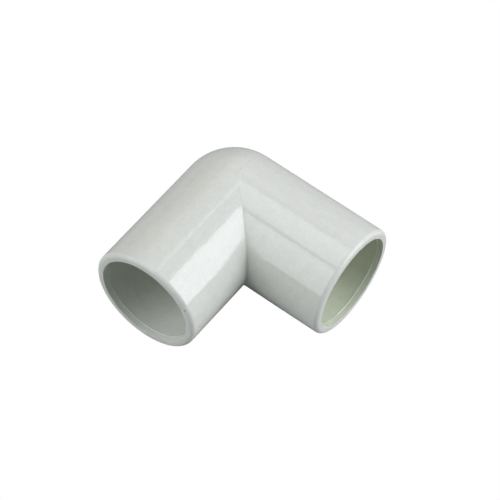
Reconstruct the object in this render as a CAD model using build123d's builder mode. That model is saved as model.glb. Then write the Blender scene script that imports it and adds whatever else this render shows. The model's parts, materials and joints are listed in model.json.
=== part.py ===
"""Plain 90 degree PVC pipe elbow with two solvent-weld sockets, moulded in one piece.

The frame's origin is the centre of socket A's end face, with +X pointing out of socket A.
Socket B opens towards -Y, and +Z is normal to the plane of the two socket axes.
Lengths are in millimetres.
"""

from build123d import *
import os

# the inside, from the end face to the bend
mouth_bore = 27.4  # widest part of the lead-in, at the end face
lead_in_depth = 1.8
socket_bore = 26.9  # takes pipe of 26.7 mm outside diameter, with room for solvent cement
socket_depth = 24.0  # end face to pipe stop
waterway_bore = 23.4  # past the pipe stop, which is the shoulder between the two bores

# the outside
outer_diameter = 32.0
centre_to_face = 39.0  # crossing of the two axes to each end face
lip_radius = 1.25  # rounded outer edge of each end face
crease_radius = 0.5  # the inner corner, where the two arms meet

mouth_radius = mouth_bore / 2
socket_radius = socket_bore / 2
waterway_radius = waterway_bore / 2
outer_radius = outer_diameter / 2

# the two arms are mirror images about the mitre plane, which holds the crossing of their axes
mitre_plane = Plane(origin=(-centre_to_face, 0, 0), x_dir=(0, 0, 1), z_dir=(1, 1, 0))

# one arm is a turned shape with a ball end, cut on the mitre plane
with BuildPart() as arm:
    with BuildSketch(Plane.XY):
        with BuildLine():
            ball_pole = (-centre_to_face - outer_radius, 0)
            arm_start = (-centre_to_face, outer_radius)
            lip_start = (-lip_radius, outer_radius)
            lip_end = (0, outer_radius - lip_radius)
            mouth_edge = (0, mouth_radius)
            lead_in_end = (-lead_in_depth, socket_radius)
            stop_outer = (-socket_depth, socket_radius)
            stop_inner = (-socket_depth, waterway_radius)
            waterway_end = (-centre_to_face, waterway_radius)
            hollow_pole = (-centre_to_face - waterway_radius, 0)
            RadiusArc(ball_pole, arm_start, outer_radius)
            Line(arm_start, lip_start)
            RadiusArc(lip_start, lip_end, lip_radius)
            Polyline(lip_end, mouth_edge, lead_in_end, stop_outer, stop_inner, waterway_end)
            RadiusArc(waterway_end, hollow_pole, -waterway_radius)
            Line(hollow_pole, ball_pole)
        make_face()
    revolve(axis=Axis.X)
    split(bisect_by=mitre_plane, keep=Keep.TOP)

with BuildPart() as elbow_body:
    add(arm.part)
    mirror(arm.part, about=mitre_plane)
    outer_crease = elbow_body.edges().filter_by(GeomType.ELLIPSE).sort_by(SortBy.LENGTH)[-1]
    fillet(outer_crease, radius=crease_radius)

elbow_body.part.label = "elbow_body"

os.makedirs("parts", exist_ok=True)
export_step(elbow_body.part, "parts/elbow_body.step")
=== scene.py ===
"""Studio scene of a moulded PVC pipe elbow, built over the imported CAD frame.

The frame's axes: +X out of socket A, -Y out of socket B, and +Z normal to both socket axes.
Lengths are in metres and angles in degrees unless a name says otherwise.
"""

import json
import math

import bpy
from mathutils import Matrix, Vector, noise


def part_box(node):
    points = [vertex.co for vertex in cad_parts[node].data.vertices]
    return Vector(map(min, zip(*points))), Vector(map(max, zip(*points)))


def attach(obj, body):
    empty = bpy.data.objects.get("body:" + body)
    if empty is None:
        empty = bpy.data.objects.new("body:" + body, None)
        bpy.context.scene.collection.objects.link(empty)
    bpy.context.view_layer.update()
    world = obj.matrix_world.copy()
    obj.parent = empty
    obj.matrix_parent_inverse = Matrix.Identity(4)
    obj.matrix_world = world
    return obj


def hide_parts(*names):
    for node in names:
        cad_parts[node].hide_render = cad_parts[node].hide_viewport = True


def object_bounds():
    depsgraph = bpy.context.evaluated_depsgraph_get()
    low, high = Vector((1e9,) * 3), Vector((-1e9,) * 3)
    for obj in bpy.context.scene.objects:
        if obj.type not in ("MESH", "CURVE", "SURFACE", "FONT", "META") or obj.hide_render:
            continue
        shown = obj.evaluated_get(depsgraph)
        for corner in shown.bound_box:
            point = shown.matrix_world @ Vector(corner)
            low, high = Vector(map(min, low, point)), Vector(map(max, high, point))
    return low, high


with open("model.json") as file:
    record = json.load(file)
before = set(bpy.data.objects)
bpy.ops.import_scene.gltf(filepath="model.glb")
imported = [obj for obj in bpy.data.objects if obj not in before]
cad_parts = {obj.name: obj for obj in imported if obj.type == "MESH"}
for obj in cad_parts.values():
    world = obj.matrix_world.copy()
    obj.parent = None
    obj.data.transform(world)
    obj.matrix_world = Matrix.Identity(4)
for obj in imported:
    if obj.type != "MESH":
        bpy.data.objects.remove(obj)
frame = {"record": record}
CAD_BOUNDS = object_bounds()

MM = 0.001

# ---------------------------------------------------------------- driving dimensions

BOX_LOW, BOX_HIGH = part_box("elbow_body")
OUTER_RADIUS = (BOX_HIGH.z - BOX_LOW.z) / 2
CROSSING = Vector(
    (BOX_LOW.x + OUTER_RADIUS, BOX_HIGH.y - OUTER_RADIUS, (BOX_LOW.z + BOX_HIGH.z) / 2)
)
CENTRE_TO_FACE = BOX_HIGH.x - CROSSING.x

BORES = [mount for mount in frame["record"]["mounts"] if mount["kind"] == "bore"]
SOCKET_RADIUS = BORES[0]["dims"]["r_mm"] * MM
SOCKET_DEPTH = CENTRE_TO_FACE - (Vector(BORES[0]["pos_m"]) - CROSSING).length
LEAD_IN_DEPTH = SOCKET_DEPTH - BORES[0]["dims"]["length_mm"] * MM
MOUTH_RADIUS = 13.7 * MM
WATERWAY_RADIUS = 11.7 * MM

LIP_RADIUS = 1.25 * MM
MOUTH_EDGE_RADIUS = 0.15 * MM
STOP_EDGE_RADIUS = 0.25 * MM
OUTER_CREASE_RADIUS = 0.5 * MM
INNER_CREASE_RADIUS = 0.3 * MM

# the fine ridge at the lead-in's inner end, its shape as (share of width, share of height)
RIDGE_WIDTH = 0.18 * MM
RIDGE_HEIGHT = 0.03 * MM
RIDGE_SHAPE = ((0.8, 0.1), (0.6, 0.6), (0.4, 1.0), (0.2, 0.6), (0.0, 0.0))
RIDGE_FOOT = 0.03 * MM  # what is left of the lead-in's taper at the ridge's outer foot

# the skin's unevenness
WAVE_HEIGHT = 0.03 * MM
SLOW_WAVE = 11 * MM
FINE_WAVE = 4.5 * MM
SLOW_SHARE = 0.75
SLOW_START = Vector((3.1, 7.7, 1.9))  # where in the noise each set of waves begins
FINE_START = Vector((9.2, 0.4, 5.3))

# ---------------------------------------------------------------- the moulding's mesh

COLUMNS = 256  # round each arm
BEND_STEPS = 10
BARREL_STEPS = 40
LIP_STEPS = 12
FACE_STEPS = 3
CORNER_STEPS = 6
LEAD_IN_STEPS = 5
SOCKET_STEPS = 18
STOP_STEPS = 2
WATERWAY_STEPS = 6
SUPPORT = 0.12 * MM  # a loop this close to each rounding keeps its shading from spreading
# how far past a bore's radius the bores' painted shade still reaches
SHADE_SLOT_MARGIN = 0.1 * MM


def straight(start, end, steps):
    """The (s, r) stations after start, up to end, in even steps."""
    return [
        (start[0] + (end[0] - start[0]) * i / steps, start[1] + (end[1] - start[1]) * i / steps)
        for i in range(1, steps + 1)
    ]


def rounding(centre, radius, first, last, steps):
    """The (s, r) stations after the first angle of an arc, up to the last."""
    stations = []
    for i in range(1, steps + 1):
        angle = math.radians(first + (last - first) * i / steps)
        stations.append((centre[0] + radius * math.cos(angle), centre[1] + radius * math.sin(angle)))
    return stations


def lip_profile():
    """(s, r) stations from the end of the outside barrel, over the lip and across the end face."""
    face, lip, edge = CENTRE_TO_FACE, LIP_RADIUS, MOUTH_EDGE_RADIUS
    flat_start = (face, OUTER_RADIUS - lip - SUPPORT)
    flat_end = (face, MOUTH_RADIUS + edge + SUPPORT)
    path = [(face - lip - SUPPORT, OUTER_RADIUS), (face - lip, OUTER_RADIUS)]
    path += rounding((face - lip, OUTER_RADIUS - lip), lip, 90, 0, LIP_STEPS)
    path += [flat_start]
    path += straight(flat_start, flat_end, FACE_STEPS)
    path += [(face, MOUTH_RADIUS + edge)]
    path += rounding((face - edge, MOUTH_RADIUS + edge), edge, 0, -90, CORNER_STEPS)
    return path


def socket_profile():
    """(s, r) stations from the mouth, down the lead-in, over its ridge and along the socket."""
    lead_start = (CENTRE_TO_FACE - MOUTH_EDGE_RADIUS - SUPPORT, MOUTH_RADIUS)
    lead_end = CENTRE_TO_FACE - LEAD_IN_DEPTH
    ridge_foot = (lead_end + RIDGE_WIDTH, SOCKET_RADIUS + RIDGE_FOOT)
    socket_start = (lead_end - SUPPORT, SOCKET_RADIUS)
    socket_end = (CENTRE_TO_FACE - SOCKET_DEPTH + SUPPORT, SOCKET_RADIUS)
    path = [lead_start]
    path += straight(lead_start, ridge_foot, LEAD_IN_STEPS)
    for share, height in RIDGE_SHAPE:
        path += [(lead_end + RIDGE_WIDTH * share, SOCKET_RADIUS - RIDGE_HEIGHT * height)]
    path += [socket_start]
    path += straight(socket_start, socket_end, SOCKET_STEPS)
    return path


def stop_profile():
    """(s, r) stations across the pipe stop and round its edge into the waterway."""
    stop, edge = CENTRE_TO_FACE - SOCKET_DEPTH, STOP_EDGE_RADIUS
    outer = (stop, SOCKET_RADIUS - SUPPORT)
    inner = (stop, WATERWAY_RADIUS + edge + SUPPORT)
    path = [(stop, SOCKET_RADIUS), outer]
    path += straight(outer, inner, STOP_STEPS)
    path += [(stop, WATERWAY_RADIUS + edge)]
    path += rounding((stop - edge, WATERWAY_RADIUS + edge), edge, 0, -90, CORNER_STEPS)
    path += [(stop - edge - SUPPORT, WATERWAY_RADIUS)]
    return path


def bend_points(radius, theta, crease, steps):
    """(s, w) points of one column round the bend, from the mitre plane to the straight arm."""
    rho = abs(radius * math.sin(theta))
    points = []
    for i in range(steps + 1):
        angle = math.radians(45 * (1 - i / steps))
        if math.sin(theta) > 0:
            fillet = crease * math.sin(theta)
            middle = rho + fillet
            points.append((middle - fillet * math.sin(angle), middle - fillet * math.cos(angle)))
        else:
            points.append((-rho * math.sin(angle), -rho * math.cos(angle)))
    return points


def arm_column(theta):
    """(s, w, z) points of one column, from the outer mitre to the inner mitre."""
    sine, cosine = math.sin(theta), math.cos(theta)
    profile = lip_profile() + socket_profile() + stop_profile()
    outer_bend = bend_points(OUTER_RADIUS, theta, OUTER_CREASE_RADIUS, BEND_STEPS)
    inner_bend = bend_points(WATERWAY_RADIUS, theta, INNER_CREASE_RADIUS, BEND_STEPS)
    barrel = straight((outer_bend[-1][0], OUTER_RADIUS), profile[0], BARREL_STEPS)
    waterway = straight(profile[-1], (inner_bend[-1][0], WATERWAY_RADIUS), WATERWAY_STEPS)[:-1]
    column = [(s, w, OUTER_RADIUS * cosine) for s, w in outer_bend]
    column += [(s, r * sine, r * cosine) for s, r in barrel + profile[1:] + waterway]
    column += [(s, w, WATERWAY_RADIUS * cosine) for s, w in reversed(inner_bend)]
    return column


def elbow_points():
    """The closed grid of points, [column][station], once round through both arms."""
    grid = []
    for c in range(COLUMNS):
        theta = 2 * math.pi * (c + 0.5) / COLUMNS
        column = arm_column(theta)
        arm_a = [(CROSSING.x + s, CROSSING.y - w, CROSSING.z + z) for s, w, z in column]
        arm_b = [(CROSSING.x + w, CROSSING.y - s, CROSSING.z + z) for s, w, z in column]
        grid.append(arm_a + arm_b[-2:0:-1])
    return grid


def grid_faces(stations):
    """The quads of a grid of points that closes on itself both ways."""
    faces = []
    for c in range(COLUMNS):
        across = (c + 1) % COLUMNS
        for k in range(stations):
            along = (k + 1) % stations
            corners = ((c, k), (c, along), (across, along), (across, k))
            faces.append([column * stations + station for column, station in corners])
    return faces


def waviness(point):
    """The skin's unevenness, as a share of its full height: slow waves and a finer orange peel."""
    slow = noise.noise(point / SLOW_WAVE + SLOW_START)
    fine = noise.noise(point / FINE_WAVE + FINE_START)
    return SLOW_SHARE * slow + (1 - SLOW_SHARE) * fine


def bore_shade_slot(point):
    """The material slot at a point of the skin: 0 outside, 1 in arm A's bore and 2 in arm B's, the
    bores' slots carrying painted shade.
    """
    away = point - CROSSING
    arm_a = away.x > -away.y
    along = max(away.x, -away.y)
    across = away.y if arm_a else away.x
    radius = away.length if along < 0 else math.hypot(across, away.z)
    widest = MOUTH_RADIUS if arm_a else SOCKET_RADIUS
    end = CENTRE_TO_FACE - (MOUTH_EDGE_RADIUS if arm_a else LEAD_IN_DEPTH)
    if radius > widest + SHADE_SLOT_MARGIN or along > end:
        return 0
    return 1 if arm_a else 2


def make_elbow():
    """The moulding as one closed mesh, with its skin slightly uneven."""
    grid = elbow_points()
    mesh = bpy.data.meshes.new("elbow_shell")
    mesh.from_pydata([point for column in grid for point in column], [], grid_faces(len(grid[0])))
    mesh.validate()
    mesh.update()
    for polygon in mesh.polygons:
        # the bores' faces take the materials with painted shade
        polygon.material_index = bore_shade_slot(polygon.center)
    for vertex, normal in zip(mesh.vertices, [n.vector.copy() for n in mesh.vertex_normals]):
        vertex.co += normal * (WAVE_HEIGHT * waviness(vertex.co))
    mesh.shade_smooth()
    mesh.update()
    shell = bpy.data.objects.new("elbow_shell", mesh)
    bpy.context.scene.collection.objects.link(shell)
    return shell


# ---------------------------------------------------------------- shader nodes


def node(tree, kind, **inputs):
    """A new node with some of its inputs set by name."""
    made = tree.nodes.new(kind)
    for name, value in inputs.items():
        made.inputs[name.replace("_", " ")].default_value = value
    return made


def link(tree, source, output, target, socket):
    tree.links.new(source.outputs[output], target.inputs[socket])


def noise_texture(tree, place, scale, detail, roughness=0.5):
    """A noise over the object, at a scale in waves per metre."""
    texture = node(tree, "ShaderNodeTexNoise", Scale=scale, Detail=detail, Roughness=roughness)
    link(tree, place, "Object", texture, "Vector")
    return texture.outputs["Fac"]


def position(tree, place):
    """The X, Y and Z sockets of the object's own coordinates."""
    axes = tree.nodes.new("ShaderNodeSeparateXYZ")
    link(tree, place, "Object", axes, "Vector")
    return axes.outputs


def ramp(tree, value, start, end, low=0.0, high=1.0):
    """Low where a value is at start, high where it is at end, and even between."""
    mask = tree.nodes.new("ShaderNodeMapRange")
    mask.inputs["From Min"].default_value = start
    mask.inputs["From Max"].default_value = end
    mask.inputs["To Min"].default_value = low
    mask.inputs["To Max"].default_value = high
    tree.links.new(value, mask.inputs["Value"])
    return mask.outputs["Result"]


def arithmetic(tree, operation, first, second):
    """A Math node on a socket and either another socket or a number."""
    made = tree.nodes.new("ShaderNodeMath")
    made.operation = operation
    tree.links.new(first, made.inputs[0])
    if isinstance(second, float):
        made.inputs[1].default_value = second
    else:
        tree.links.new(second, made.inputs[1])
    return made.outputs["Value"]


def mixed(tree, under, over, share):
    """One colour going over to another, a socket or a constant, as share goes from 0 to 1."""
    mix = tree.nodes.new("ShaderNodeMix")
    mix.data_type = "RGBA"
    tree.links.new(under, mix.inputs["A"])
    if isinstance(over, tuple):
        mix.inputs["B"].default_value = (*over, 1)
    else:
        tree.links.new(over, mix.inputs["B"])
    tree.links.new(share, mix.inputs["Factor"])
    return mix.outputs["Result"]


# ---------------------------------------------------------------- materials

# two close tints for each part of the skin. The bores' tints are painted shade and painted light
# scattered through the wall: darker and greener than the outside's
OUTSIDE_TINTS = ((0.695, 0.727, 0.650), (0.765, 0.802, 0.715))
BORE_A_SHADE_TINTS = ((0.628, 0.680, 0.522), (0.698, 0.752, 0.592))
BORE_B_SHADE_TINTS = ((0.660, 0.688, 0.612), (0.730, 0.760, 0.682))
BEND_SHADE_START = 11 * MM  # along socket A, where its painted shade begins to take over from the bend's lighter painted shade
BEND_SHADE_END = 27 * MM

# clouds and grain in the compound, and orange peel and dull patches on the skin: waves per metre
CLOUD_SCALE = 420.0
CLOUD_LOW, CLOUD_HIGH = 0.3, 0.7
GRAIN_SCALE = 2300.0
GRAIN_LOW, GRAIN_HIGH = 0.55, 0.75
GRAIN_SHARE = 0.5
GRAIN_DEPTH = 0.86
GLOSS_SCALE = 400.0
GLOSS_LOW, GLOSS_HIGH = 0.05, 0.10
PEEL_SCALE = 800.0
PEEL_HEIGHT = 0.05 * MM
PVC_IOR = 1.53
LIP_DULLNESS = 0.25  # how much rougher the lips and end faces are than the barrels

# a speck in the compound on socket B's end face
SPECK_ANGLE = math.radians(58)  # from straight up towards socket A
SPECK_REACH = 15.2 * MM
SPECK_PLACE = CROSSING + Vector(
    (SPECK_REACH * math.sin(SPECK_ANGLE), -CENTRE_TO_FACE, SPECK_REACH * math.cos(SPECK_ANGLE))
)
SPECK_RADIUS = 0.5 * MM
SPECK_COLOUR = (0.40, 0.42, 0.39)

# the mould's broken joint line over the bend, where socket A's barrel meets the ball
SEAM_HALF_WIDTH = 0.2 * MM
SEAM_LOWEST = 9.0 * MM
SEAM_FADE = 2.0 * MM
SEAM_START = 0.2 * MM
SEAM_COLOUR = (0.64, 0.675, 0.61)
DOT_SCALE = 1100.0
DOT_LOW, DOT_HIGH = 0.35, 0.6

SOFT_EDGE = 0.3  # share of the speck's radius and the seam's width that is at full strength


def near_point(tree, place, point, radius):
    """1 at a point of the object and 0 beyond a radius from it."""
    away = tree.nodes.new("ShaderNodeVectorMath")
    away.operation = "DISTANCE"
    away.inputs[1].default_value = point
    link(tree, place, "Object", away, 0)
    return ramp(tree, away.outputs["Value"], radius, radius * SOFT_EDGE)


def on_seam(tree, place):
    """1 on the dots of the joint line and 0 elsewhere."""
    axes = position(tree, place)
    lowest = CROSSING.z + SEAM_LOWEST
    across = arithmetic(tree, "SUBTRACT", axes["X"], CROSSING.x)
    across = arithmetic(tree, "ABSOLUTE", across, 0.0)
    line = ramp(tree, across, SEAM_HALF_WIDTH, SEAM_HALF_WIDTH * SOFT_EDGE)
    high = ramp(tree, axes["Z"], lowest, lowest + SEAM_FADE)
    outer = ramp(tree, axes["Y"], CROSSING.y - SEAM_START, CROSSING.y + SEAM_START)
    broken = ramp(tree, noise_texture(tree, place, DOT_SCALE, 1.0), DOT_LOW, DOT_HIGH)
    seam = arithmetic(tree, "MULTIPLY", line, high)
    dots = arithmetic(tree, "MULTIPLY", outer, broken)
    return arithmetic(tree, "MULTIPLY", seam, dots)


def at_lips(tree, place):
    """1 on both end faces and their rounded lips, and 0 on the barrels."""
    axes = position(tree, place)
    start = CENTRE_TO_FACE - 1.1 * LIP_RADIUS
    end = CENTRE_TO_FACE - 0.7 * LIP_RADIUS
    lip_a = ramp(tree, axes["X"], CROSSING.x + start, CROSSING.x + end)
    lip_b = ramp(tree, axes["Y"], CROSSING.y - start, CROSSING.y - end)
    return arithmetic(tree, "MAXIMUM", lip_a, lip_b)


def cloudy_tint(tree, clouds, dark, light):
    """A colour between two close tints, by a noise."""
    tint = tree.nodes.new("ShaderNodeValToRGB")
    tint.color_ramp.elements[0].position = CLOUD_LOW
    tint.color_ramp.elements[0].color = (*dark, 1)
    tint.color_ramp.elements[1].position = CLOUD_HIGH
    tint.color_ramp.elements[1].color = (*light, 1)
    tree.links.new(clouds, tint.inputs["Fac"])
    return tint.outputs["Color"]


def pvc_colour(tree, place, dark, light, bend_shade_tints):
    """Compound not quite evenly mixed: broad clouds, a fine grain, the joint line and the speck. In
    the bores the two tints are painted shade, and bend tints, where given, paint lighter shade
    towards the bend.
    """
    clouds = noise_texture(tree, place, CLOUD_SCALE, 6.0, 0.8)
    tint = cloudy_tint(tree, clouds, dark, light)
    # painted shade in socket A's bore, lighter towards the bend
    if bend_shade_tints:
        along = position(tree, place)["X"]
        bend_shade_share = ramp(tree, along, CROSSING.x + BEND_SHADE_END, CROSSING.x + BEND_SHADE_START)
        tint = mixed(tree, tint, cloudy_tint(tree, clouds, *bend_shade_tints), bend_shade_share)
    grain = noise_texture(tree, place, GRAIN_SCALE, 2.0, 0.7)
    share = ramp(tree, grain, GRAIN_LOW, GRAIN_HIGH, high=GRAIN_SHARE)
    tint = mixed(tree, tint, tuple(GRAIN_DEPTH * value for value in dark), share)
    tint = mixed(tree, tint, SEAM_COLOUR, on_seam(tree, place))
    return mixed(tree, tint, SPECK_COLOUR, near_point(tree, place, SPECK_PLACE, SPECK_RADIUS))


def pvc_roughness(tree, place):
    """The gloss of a polished mould, duller in patches and on the lips."""
    gloss = noise_texture(tree, place, GLOSS_SCALE, 3.0)
    rough = ramp(tree, gloss, 0.0, 1.0, GLOSS_LOW, GLOSS_HIGH)
    dull = arithmetic(tree, "MULTIPLY", at_lips(tree, place), LIP_DULLNESS)
    return arithmetic(tree, "ADD", rough, dull)


def pvc_material(name, dark, light, bend_shade_tints=None):
    """Glossy moulded PVC between two close tints, which in the bores are painted shade. Bend tints,
    a lighter painted shade, take over towards the bend.
    """
    material = bpy.data.materials.new(name)
    material.use_nodes = True
    tree = material.node_tree
    shader = tree.nodes["Principled BSDF"]
    shader.inputs["IOR"].default_value = PVC_IOR
    place = tree.nodes.new("ShaderNodeTexCoord")
    colour = pvc_colour(tree, place, dark, light, bend_shade_tints)
    tree.links.new(colour, shader.inputs["Base Color"])
    tree.links.new(pvc_roughness(tree, place), shader.inputs["Roughness"])
    peel = node(tree, "ShaderNodeBump", Strength=1.0, Distance=PEEL_HEIGHT)
    tree.links.new(noise_texture(tree, place, PEEL_SCALE, 3.0, 0.6), peel.inputs["Height"])
    link(tree, peel, "Normal", shader, "Normal")
    return material


def floor_material():
    """White to the camera, as behind a cut-out object, and a mid grey to the object."""
    material = bpy.data.materials.new("studio_floor")
    material.use_nodes = True
    tree = material.node_tree
    tree.nodes.clear()
    output = tree.nodes.new("ShaderNodeOutputMaterial")
    ray = tree.nodes.new("ShaderNodeLightPath")
    grey = node(tree, "ShaderNodeBsdfDiffuse", Color=(0.4, 0.4, 0.4, 1))
    white = node(tree, "ShaderNodeEmission", Color=(1, 1, 1, 1), Strength=1.0)
    mix = tree.nodes.new("ShaderNodeMixShader")
    tree.links.new(ray.outputs["Is Camera Ray"], mix.inputs["Fac"])
    tree.links.new(grey.outputs["BSDF"], mix.inputs[1])
    tree.links.new(white.outputs["Emission"], mix.inputs[2])
    link(tree, mix, "Shader", output, "Surface")
    return material


# ---------------------------------------------------------------- studio

FLOOR_SIZE = 6.0
FLOOR_CLEARANCE = 0.02 * MM  # keeps the floor clear of the skin's waves

# the narrow box overhead: height, the two angles from straight up that it spans, place and width
TOP_HEIGHT = 0.9
TOP_NEAR, TOP_FAR = 20.5, -21.0
TOP_X = -0.35
TOP_WIDTH = 0.3

# the other softboxes stand round an arm: distance from its axis, place along it and width
FRONT_STAND = (1.0, -0.95, 1.6)
RIGHT_STAND = (1.0, 0.55, 1.1)
BACK_STAND = (1.2, -0.3, 1.4)
LEFT_STAND = (1.2, 0.5, 1.4)
LINE_STAND = (1.0, 0.55, 0.4)


def make_floor():
    half = FLOOR_SIZE / 2
    z = CAD_BOUNDS[0].z - FLOOR_CLEARANCE
    corners = [(-half, -half, z), (half, -half, z), (half, half, z), (-half, half, z)]
    mesh = bpy.data.meshes.new("floor")
    mesh.from_pydata(corners, [], [(0, 1, 2, 3)])
    floor = bpy.data.objects.new("floor", mesh)
    bpy.context.scene.collection.objects.link(floor)
    mesh.materials.append(floor_material())
    return floor


def softbox(name, low_edge, high_edge, run, radiance, colour):
    """A flat light between the middles of two parallel edges, facing the elbow.

    The edges' direction and length are run, and the camera doesn't see the light.
    """
    low, high, run = Vector(low_edge), Vector(high_edge), Vector(run)
    width, height = run.length, (high - low).length
    across = run.normalized()
    up = (high - low).normalized()
    facing = across.cross(up)
    middle = (low + high) / 2
    if facing.dot(middle - CROSSING) < 0:
        across, facing = -across, -facing
    turn = Matrix((across, up, facing)).transposed().to_4x4()
    data = bpy.data.lights.new(name, "AREA")
    data.shape = "RECTANGLE"
    data.size = width
    data.size_y = height
    data.color = colour
    data.energy = radiance * math.pi * width * height
    light = bpy.data.objects.new(name, data)
    light.matrix_world = Matrix.Translation(middle) @ turn
    light.visible_camera = False
    bpy.context.scene.collection.objects.link(light)


def top_box(name, radiance, colour):
    """The narrow softbox overhead, level and running along X."""
    near, far = (-TOP_HEIGHT * math.tan(math.radians(angle)) for angle in (TOP_NEAR, TOP_FAR))
    near_edge = (TOP_X, near, TOP_HEIGHT)
    far_edge = (TOP_X, far, TOP_HEIGHT)
    softbox(name, near_edge, far_edge, (TOP_WIDTH, 0, 0), radiance, colour)


def box_round_x(name, low, high, stand, radiance, colour):
    """A softbox that runs along X, between two angles from straight up towards the front (-Y)."""
    distance, x, width = stand
    edges = []
    for angle in (math.radians(low), math.radians(high)):
        edges.append((x, -distance * math.sin(angle), distance * math.cos(angle)))
    softbox(name, *edges, (width, 0, 0), radiance, colour)


def box_round_y(name, low, high, stand, radiance, colour):
    """A softbox that runs along Y, between two angles from straight up towards the right (+X)."""
    distance, y, width = stand
    edges = []
    for angle in (math.radians(low), math.radians(high)):
        edges.append((distance * math.sin(angle), y, distance * math.cos(angle)))
    softbox(name, *edges, (0, width, 0), radiance, colour)


def make_lights():
    """Softboxes whose edges give the bands on the barrels. The big ones are dimmer low down."""
    top_box("light_top", 2.30, (0.80, 0.87, 1.0))
    box_round_x("light_front_high", 58.5, 27.5, FRONT_STAND, 2.75, (0.91, 0.92, 1.0))
    box_round_x("light_front_low", 85.0, 58.5, FRONT_STAND, 2.45, (0.96, 0.99, 1.0))
    box_round_y("light_right_high", 52.5, 25.5, RIGHT_STAND, 4.2, (0.92, 0.925, 1.0))
    box_round_y("light_right_low", 85.0, 52.5, RIGHT_STAND, 4.12, (0.935, 0.925, 1.0))
    box_round_x("light_back", -85.0, -30.0, BACK_STAND, 0.5, (0.87, 0.90, 1.0))
    box_round_y("light_left", -85.0, -12.0, LEFT_STAND, 0.22, (1.0, 0.55, 0.3))
    box_round_y("light_line", -7.0, -3.5, LINE_STAND, 2.7, (0.91, 0.92, 1.0))


def make_world():
    """White to the camera and dark to everything else."""
    world = bpy.data.worlds.new("studio")
    bpy.context.scene.world = world
    world.use_nodes = True
    tree = world.node_tree
    tree.nodes.clear()
    output = tree.nodes.new("ShaderNodeOutputWorld")
    ray = tree.nodes.new("ShaderNodeLightPath")
    white = node(tree, "ShaderNodeBackground", Color=(1, 1, 1, 1))
    tree.links.new(ray.outputs["Is Camera Ray"], white.inputs["Strength"])
    link(tree, white, "Background", output, "Surface")


# ---------------------------------------------------------------- camera

CAMERA_AZIMUTH = 32.43  # from the front (-Y) towards the right (+X)
CAMERA_ELEVATION = 55.63
CAMERA_ROLL = 5.45
CAMERA_TARGET = Vector((-27.4 * MM, -8.5 * MM, 0))
CAMERA_DISTANCE = 789.0 * MM
CAMERA_LENS_MM = 214.72
CAMERA_SENSOR_MM = 36
CAMERA_CLIP = (0.05, 20)


def camera_axes():
    """The camera's right, up and backward directions."""
    azimuth = math.radians(CAMERA_AZIMUTH)
    elevation = math.radians(CAMERA_ELEVATION)
    roll = math.radians(CAMERA_ROLL)
    level = Vector((math.cos(azimuth), math.sin(azimuth), 0))
    outward = Vector((math.sin(azimuth), -math.cos(azimuth), 0))
    back = outward * math.cos(elevation) + Vector((0, 0, math.sin(elevation)))
    right = level * math.cos(roll) + back.cross(level) * math.sin(roll)
    return right, back.cross(right), back


def make_camera():
    right, up, back = camera_axes()
    data = bpy.data.cameras.new("camera")
    data.sensor_width = CAMERA_SENSOR_MM
    data.lens = CAMERA_LENS_MM
    data.clip_start, data.clip_end = CAMERA_CLIP
    camera = bpy.data.objects.new("camera", data)
    place = CAMERA_TARGET + back * CAMERA_DISTANCE
    camera.matrix_world = Matrix.Translation(place) @ Matrix((right, up, back)).transposed().to_4x4()
    bpy.context.scene.collection.objects.link(camera)
    bpy.context.scene.camera = camera


# ---------------------------------------------------------------- the scene

make_camera()
elbow = make_elbow()
elbow.data.materials.append(pvc_material("moulded_pvc", *OUTSIDE_TINTS))
# the bores' copies of the material carry painted shade and painted light scattered through the wall
elbow.data.materials.append(pvc_material("moulded_pvc_bore_a_painted_shade", *BORE_A_SHADE_TINTS, BORE_B_SHADE_TINTS))
elbow.data.materials.append(pvc_material("moulded_pvc_bore_b_painted_shade", *BORE_B_SHADE_TINTS))
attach(elbow, "root")
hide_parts("elbow_body")
make_floor()
make_lights()
make_world()
bpy.context.scene.view_settings.view_transform = "Standard"
